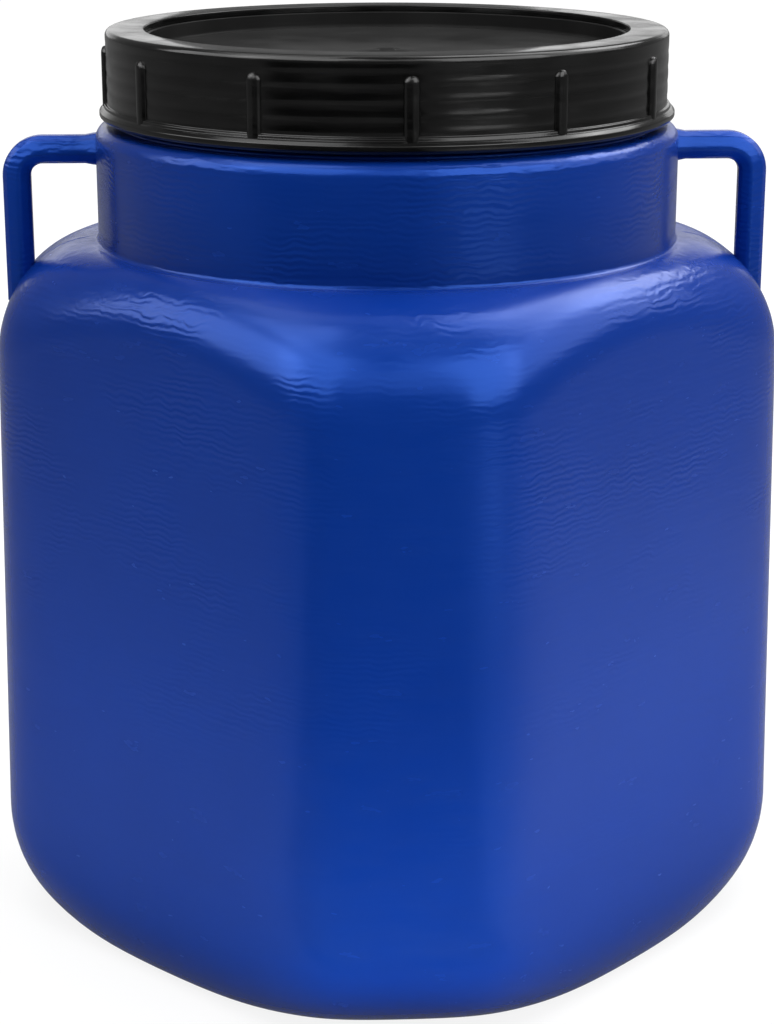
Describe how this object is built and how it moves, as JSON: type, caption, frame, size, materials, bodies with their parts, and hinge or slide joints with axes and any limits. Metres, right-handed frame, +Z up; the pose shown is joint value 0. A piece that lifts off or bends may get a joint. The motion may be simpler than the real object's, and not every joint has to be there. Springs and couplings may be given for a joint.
{
  "type": "plastic drum",
  "caption": "Wide-mouth plastic storage drum, square with cut-back corners, with side bar handles, a threaded neck, a recessed inner lid with a gasket, and a ribbed screw ring.",
  "frame": {"origin": "centre of the flat standing face, on the axis of the neck", "axes": "+Z up along the axis of the neck; the handles lie in the XZ plane, at plus and minus X; the cut-back corners face plus and minus X and Y, and the broad walls lie between them"},
  "size_m": [0.3832, 0.3832, 0.434],
  "materials": {
    "blue_plastic": "semi-gloss blow-moulded high-density polyethylene, lightly rippled",
    "black_plastic": "semi-gloss injection-moulded plastic",
    "gasket_rubber": "matt soft rubber"
  },
  "bodies": {
    "drum": {"body_base": "blue_plastic", "body_walls": "blue_plastic", "body_shoulder": "blue_plastic", "body_collar": "blue_plastic", "body_neck": "blue_plastic", "handle_left": "blue_plastic", "handle_right": "blue_plastic"},
    "lid": {"inner_lid": "black_plastic", "sealing_gasket": "gasket_rubber"},
    "ring": {"screw_ring": "black_plastic"}
  },
  "joints": [
    {"name": "lid_lift", "type": "slide", "parent": "drum", "child": "lid", "axis": [0, 0, 1], "range_m": [0, 0.035]},
    {"name": "ring_turn", "type": "hinge", "parent": "lid", "child": "ring", "pos_m": [0, 0, 0.41], "axis": [0, 0, 1], "range_deg": [0, 1800]}
  ],
  "couplings": [
    {"joint": "lid_lift", "follows": "ring_turn", "m_per_rad": 0.0011141}
  ]
}
